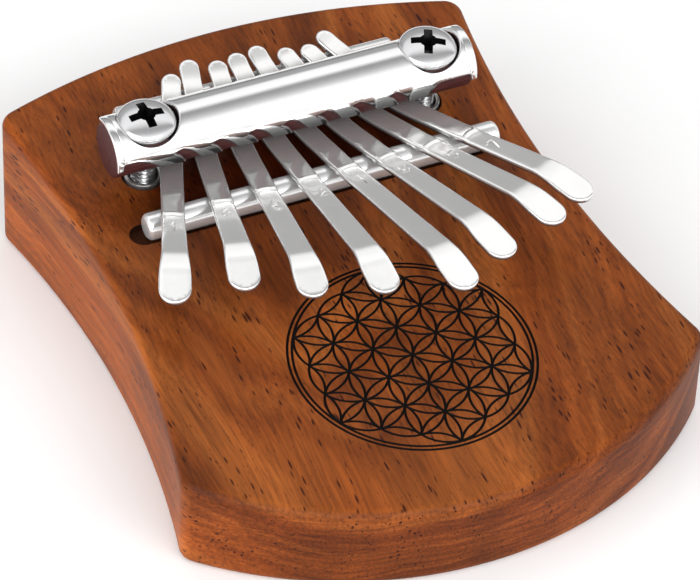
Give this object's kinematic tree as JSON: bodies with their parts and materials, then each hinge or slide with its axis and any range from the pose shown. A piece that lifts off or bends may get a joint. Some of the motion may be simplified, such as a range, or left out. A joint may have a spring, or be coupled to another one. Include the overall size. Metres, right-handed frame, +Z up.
{
  "type": "mbira",
  "caption": "Thumb piano with a solid wooden wedge body, plucked spring-steel keys held by a toothed metal-capped pressure bar over bridge rods, and an engraved rosette.",
  "frame": {"origin": "bottom centre of the bounding box, on the surface the instrument rests on", "axes": "+Z up, +Y towards the rear edge behind the pressure bar, -Y towards the free ends of the keys, +X towards the shortest keys on the right"},
  "size_m": [0.074, 0.0906, 0.0305],
  "materials": {
    "body_wood": "oiled reddish-brown hardwood with dark pores along the grain",
    "bar_hardwood": "smooth dark maroon hardwood",
    "chrome": "polished chrome plate",
    "screw_chrome": "bright plated screw",
    "insert_steel": "bright turned steel",
    "key_steel": "polished nickel-plated spring steel"
  },
  "bodies": {
    "instrument": {"body": "body_wood", "front_bridge_rod": "chrome", "rear_bridge_rod": "chrome", "pressure_bar_core": "bar_hardwood", "pressure_bar_cap": "chrome", "insert_left": "insert_steel", "insert_right": "insert_steel"},
    "tine_1": {"key_1": "key_steel"},
    "tine_2": {"key_2": "key_steel"},
    "tine_3": {"key_3": "key_steel"},
    "tine_4": {"key_4": "key_steel"},
    "tine_5": {"key_5": "key_steel"},
    "tine_6": {"key_6": "key_steel"},
    "tine_7": {"key_7": "key_steel"},
    "tine_8": {"key_8": "key_steel"},
    "bar_screw_left": {"screw_left": "screw_chrome"},
    "bar_screw_right": {"screw_right": "screw_chrome"}
  },
  "joints": [
    {"name": "key_1_pluck", "type": "hinge", "parent": "instrument", "child": "tine_1", "pos_m": [-0.02087, 0.0117, 0.02137], "axis": [1, 0, 0], "range_deg": [-0.5, 1.5], "stiffness_Nm_per_rad": 4},
    {"name": "key_2_pluck", "type": "hinge", "parent": "instrument", "child": "tine_2", "pos_m": [-0.0143, 0.0117, 0.02137], "axis": [1, 0, 0], "range_deg": [-0.5, 1.5], "stiffness_Nm_per_rad": 4},
    {"name": "key_3_pluck", "type": "hinge", "parent": "instrument", "child": "tine_3", "pos_m": [-0.00819, 0.0117, 0.02137], "axis": [1, 0, 0], "range_deg": [-0.5, 1.5], "stiffness_Nm_per_rad": 4},
    {"name": "key_4_pluck", "type": "hinge", "parent": "instrument", "child": "tine_4", "pos_m": [-0.00237, 0.0117, 0.02137], "axis": [1, 0, 0], "range_deg": [-0.5, 1.5], "stiffness_Nm_per_rad": 4},
    {"name": "key_5_pluck", "type": "hinge", "parent": "instrument", "child": "tine_5", "pos_m": [0.00319, 0.0117, 0.02137], "axis": [1, 0, 0], "range_deg": [-0.5, 1.5], "stiffness_Nm_per_rad": 4},
    {"name": "key_6_pluck", "type": "hinge", "parent": "instrument", "child": "tine_6", "pos_m": [0.00877, 0.0117, 0.02137], "axis": [1, 0, 0], "range_deg": [-0.5, 1.5], "stiffness_Nm_per_rad": 4},
    {"name": "key_7_pluck", "type": "hinge", "parent": "instrument", "child": "tine_7", "pos_m": [0.01507, 0.0117, 0.02137], "axis": [1, 0, 0], "range_deg": [-0.5, 1.5], "stiffness_Nm_per_rad": 4},
    {"name": "key_8_pluck", "type": "hinge", "parent": "instrument", "child": "tine_8", "pos_m": [0.02066, 0.0117, 0.02137], "axis": [1, 0, 0], "range_deg": [-0.5, 1.5], "stiffness_Nm_per_rad": 4},
    {"name": "screw_left_turn", "type": "hinge", "parent": "instrument", "child": "bar_screw_left", "pos_m": [-0.0206, 0.0216, 0.0255], "axis": [0, -0.1113, 0.9938], "continuous": true},
    {"name": "screw_right_turn", "type": "hinge", "parent": "instrument", "child": "bar_screw_right", "pos_m": [0.0206, 0.0216, 0.0255], "axis": [0, -0.1113, 0.9938], "continuous": true}
  ]
}
